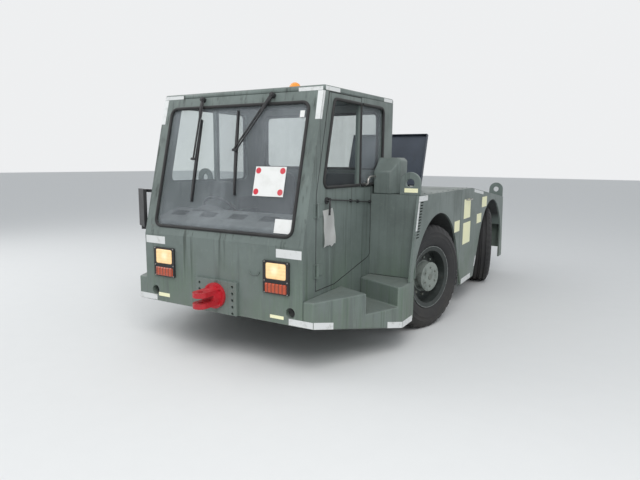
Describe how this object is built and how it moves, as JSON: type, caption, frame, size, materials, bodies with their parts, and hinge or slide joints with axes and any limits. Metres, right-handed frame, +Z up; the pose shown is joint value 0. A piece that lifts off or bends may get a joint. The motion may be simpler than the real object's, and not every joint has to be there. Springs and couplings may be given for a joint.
{
  "type": "aircraft pushback tractor",
  "caption": "Low aircraft tractor with a raked forward cab, side steps, wheel arches in flat side plates, lugs for tying down, a tow coupling and steered wheels at both ends.",
  "frame": {"origin": "on the ground below the middle of the bounding box", "axes": "+Z up, front facing -Y, the vehicle's left at +X"},
  "size_m": [2.6162, 5.24, 2.2635],
  "materials": {
    "body_green": "weathered satin grey-green paint with streaks and chips",
    "wheel_green": "dusty satin grey-green paint",
    "underframe_black": "dirty satin black paint",
    "lid_slate": "satin slate blue paint",
    "engine_paint": "oily painted casting",
    "window_glass": "clear flat glass, slightly dusty",
    "tyre_rubber": "worn tyre rubber",
    "coupling_red": "gloss red paint, chipped at the edges",
    "lamp_black": "satin black plastic",
    "lamp_red": "ribbed red lens",
    "beacon_amber": "clear amber dome",
    "dash_grey": "grained grey plastic",
    "seat_cloth": "dark woven cloth",
    "lens_clear": "fluted clear lens, lamp lit",
    "lamp_amber": "ribbed orange lens"
  },
  "bodies": {
    "hull": {"chassis": "underframe_black", "nose": "body_green", "cab_floor": "body_green", "windscreen_frame": "body_green", "cab_sides": "body_green", "cab_back": "body_green", "roof": "body_green", "cab_glass": "window_glass", "skirts": "body_green", "side_plates": "body_green", "wheel_housings": "body_green", "lugs": "body_green", "deck": "body_green", "tail": "body_green", "engine": "engine_paint", "engine_bay_fittings": "underframe_black", "driveline": "underframe_black", "axle_front": "underframe_black", "axle_rear": "underframe_black", "coupling_plate": "body_green", "front_coupling": "coupling_red", "rear_coupling": "coupling_red", "lamps": "lamp_black", "headlamps": "lens_clear", "indicators": "lamp_amber", "tail_lamps": "lamp_red", "beacon": "beacon_amber", "wipers": "lamp_black", "side_mirror": "lamp_black", "intake_hood": "body_green", "dash": "dash_grey", "steering_wheel": "lamp_black", "seats": "seat_cloth"},
    "door_left": {"door_left": "body_green", "door_glass_left": "window_glass"},
    "door_right": {"door_right": "body_green", "door_glass_right": "window_glass"},
    "hatch_left": {"hatch_left": "lid_slate"},
    "hatch_right": {"hatch_right": "lid_slate"},
    "knuckle_fl": {"knuckle_fl": "underframe_black"},
    "knuckle_fr": {"knuckle_fr": "underframe_black"},
    "knuckle_rl": {"knuckle_rl": "underframe_black"},
    "knuckle_rr": {"knuckle_rr": "underframe_black"},
    "wheel_fl": {"wheel_fl": "wheel_green", "tyre_fl": "tyre_rubber"},
    "wheel_fr": {"wheel_fr": "wheel_green", "tyre_fr": "tyre_rubber"},
    "wheel_rl": {"wheel_rl": "wheel_green", "tyre_rl": "tyre_rubber"},
    "wheel_rr": {"wheel_rr": "wheel_green", "tyre_rr": "tyre_rubber"},
    "tie_rod_front": {"tie_rod_front": "underframe_black"},
    "tie_rod_rear": {"tie_rod_rear": "underframe_black"}
  },
  "joints": [
    {"name": "steer_front", "type": "hinge", "parent": "hull", "child": "knuckle_fl", "pos_m": [0.99, -0.67, 0.49], "axis": [0, 0, 1], "range_deg": [-8.6, 41.4]},
    {"name": "spin_fl", "type": "hinge", "parent": "knuckle_fl", "child": "wheel_fl", "pos_m": [1.05907, -0.69033, 0.49], "axis": [0.9593, -0.2823, 0], "continuous": true},
    {"name": "steer_front_right", "type": "hinge", "parent": "hull", "child": "knuckle_fr", "pos_m": [-0.99, -0.67, 0.49], "axis": [0, 0, 1], "range_deg": [-8.6, 41.4]},
    {"name": "spin_fr", "type": "hinge", "parent": "knuckle_fr", "child": "wheel_fr", "pos_m": [-1.05907, -0.64967, 0.49], "axis": [0.9593, -0.2823, 0], "continuous": true},
    {"name": "tie_rod_front_pin", "type": "hinge", "parent": "knuckle_fl", "child": "tie_rod_front", "pos_m": [1.04364, -0.48773, 0.412], "axis": [0, 0, 1], "range_deg": [-41.4, 8.6]},
    {"name": "steer_rear", "type": "hinge", "parent": "hull", "child": "knuckle_rl", "pos_m": [0.99, 1.64, 0.49], "axis": [0, 0, 1], "range_deg": [-41.4, 8.6]},
    {"name": "spin_rl", "type": "hinge", "parent": "knuckle_rl", "child": "wheel_rl", "pos_m": [1.05907, 1.66033, 0.49], "axis": [0.9593, 0.2823, 0], "continuous": true},
    {"name": "steer_rear_right", "type": "hinge", "parent": "hull", "child": "knuckle_rr", "pos_m": [-0.99, 1.64, 0.49], "axis": [0, 0, 1], "range_deg": [-41.4, 8.6]},
    {"name": "spin_rr", "type": "hinge", "parent": "knuckle_rr", "child": "wheel_rr", "pos_m": [-1.05907, 1.61967, 0.49], "axis": [0.9593, 0.2823, 0], "continuous": true},
    {"name": "tie_rod_rear_pin", "type": "hinge", "parent": "knuckle_rl", "child": "tie_rod_rear", "pos_m": [1.04364, 1.45773, 0.412], "axis": [0, 0, 1], "range_deg": [-8.6, 41.4]},
    {"name": "door_left_hinge", "type": "hinge", "parent": "hull", "child": "door_left", "pos_m": [0.79, -2.19, 0.612], "axis": [0, 0, -1], "range_deg": [0, 75]},
    {"name": "door_right_hinge", "type": "hinge", "parent": "hull", "child": "door_right", "pos_m": [-0.79, -2.19, 0.612], "axis": [0, 0, 1], "range_deg": [0, 75]},
    {"name": "hatch_left_hinge", "type": "hinge", "parent": "hull", "child": "hatch_left", "pos_m": [0.43, -0.18, 1.304], "axis": [-1, 0, 0], "range_deg": [-107, 0]},
    {"name": "hatch_right_hinge", "type": "hinge", "parent": "hull", "child": "hatch_right", "pos_m": [-0.43, -0.18, 1.304], "axis": [-1, 0, 0], "range_deg": [0, 107]}
  ],
  "couplings": [
    {"joint": "steer_front_right", "follows": "steer_front", "ratio": 1},
    {"joint": "tie_rod_front_pin", "follows": "steer_front", "ratio": -1},
    {"joint": "steer_rear_right", "follows": "steer_rear", "ratio": 1},
    {"joint": "tie_rod_rear_pin", "follows": "steer_rear", "ratio": -1}
  ]
}
